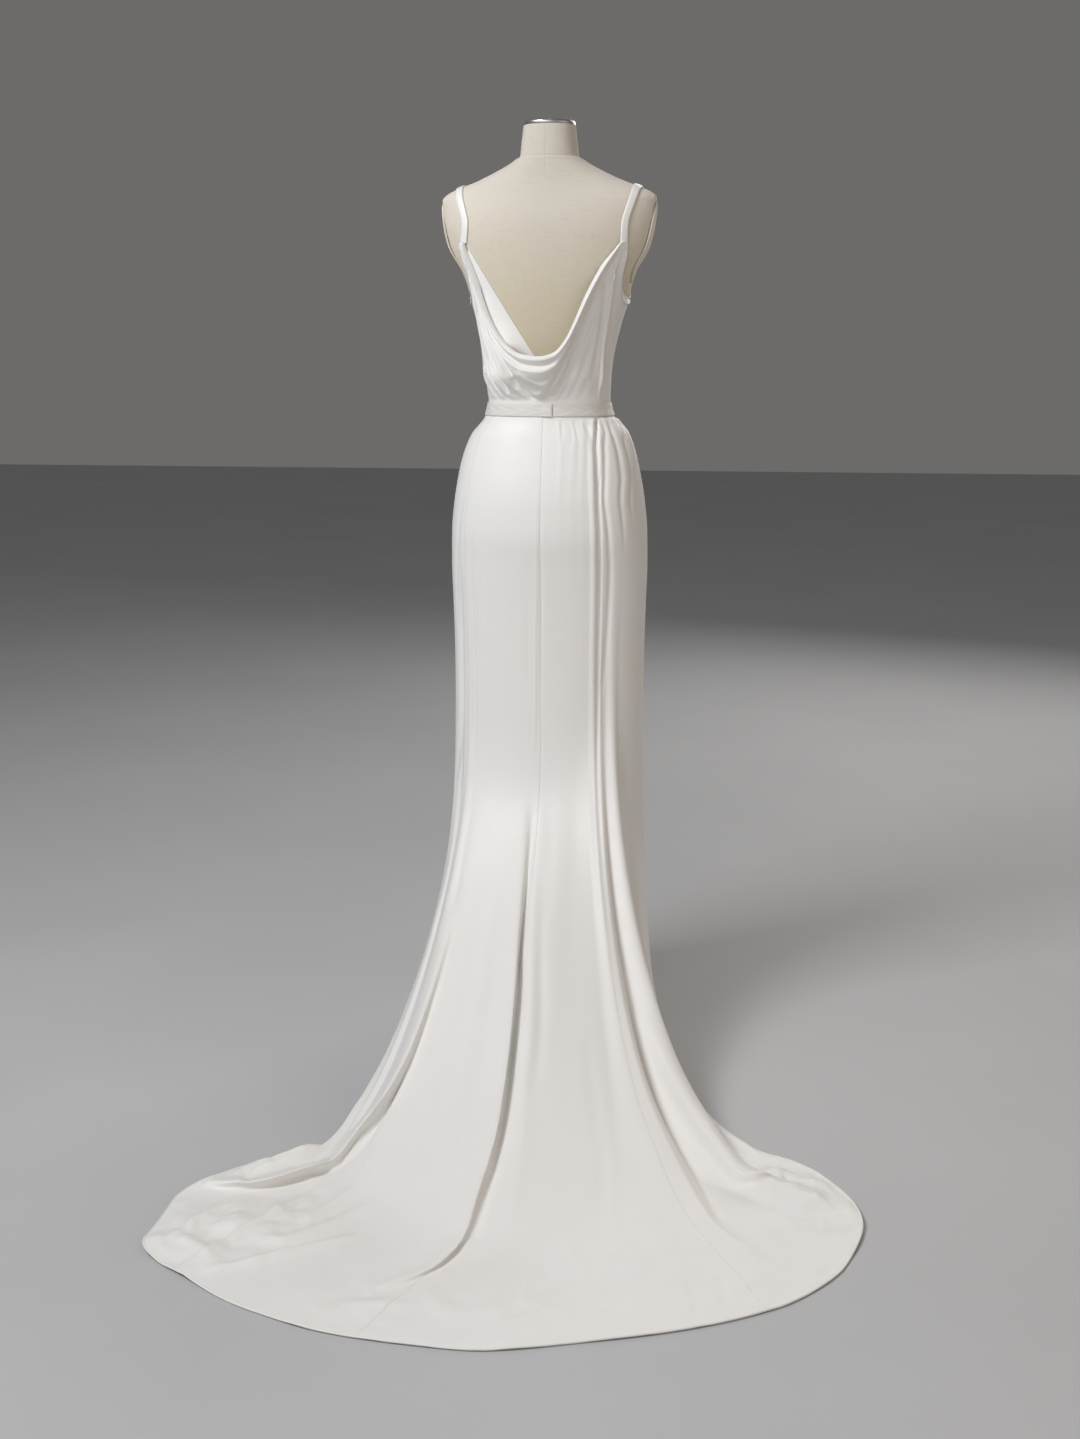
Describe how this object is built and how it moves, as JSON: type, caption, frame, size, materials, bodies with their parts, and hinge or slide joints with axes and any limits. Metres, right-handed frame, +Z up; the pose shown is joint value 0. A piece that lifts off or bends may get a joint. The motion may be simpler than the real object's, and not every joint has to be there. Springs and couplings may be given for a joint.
{
  "type": "wedding dress on dress form",
  "caption": "Full-length wedding dress with a low draped back, narrow waistband and long train, standing on a limbless dress form.",
  "frame": {"origin": "on the floor at the middle of the stand's round base, under the neck of the form", "axes": "+Z up, the dress faces -Y, the train lies towards +Y, the wearer's left is +X"},
  "size_m": [0.9623, 1.2954, 1.5994],
  "materials": {
    "crepe": "ivory satin-backed crepe with a soft sheen",
    "form_linen": "cream linen, matt",
    "form_metal": "brushed",
    "stand_paint": "satin black"
  },
  "bodies": {
    "root": {"strap_left": "crepe", "strap_right": "crepe", "bodice_front": "crepe", "bodice_back": "crepe", "cowl_facing": "crepe", "waistband": "crepe", "skirt_front": "crepe", "skirt_side_left": "crepe", "skirt_side_right": "crepe", "skirt_back_left": "crepe", "skirt_back_right": "crepe", "form_torso": "form_linen", "form_arm_plate_left": "form_linen", "form_arm_plate_right": "form_linen", "form_neck_cap": "form_metal", "form_pole": "form_metal", "form_base": "stand_paint"}
  },
  "joints": []
}
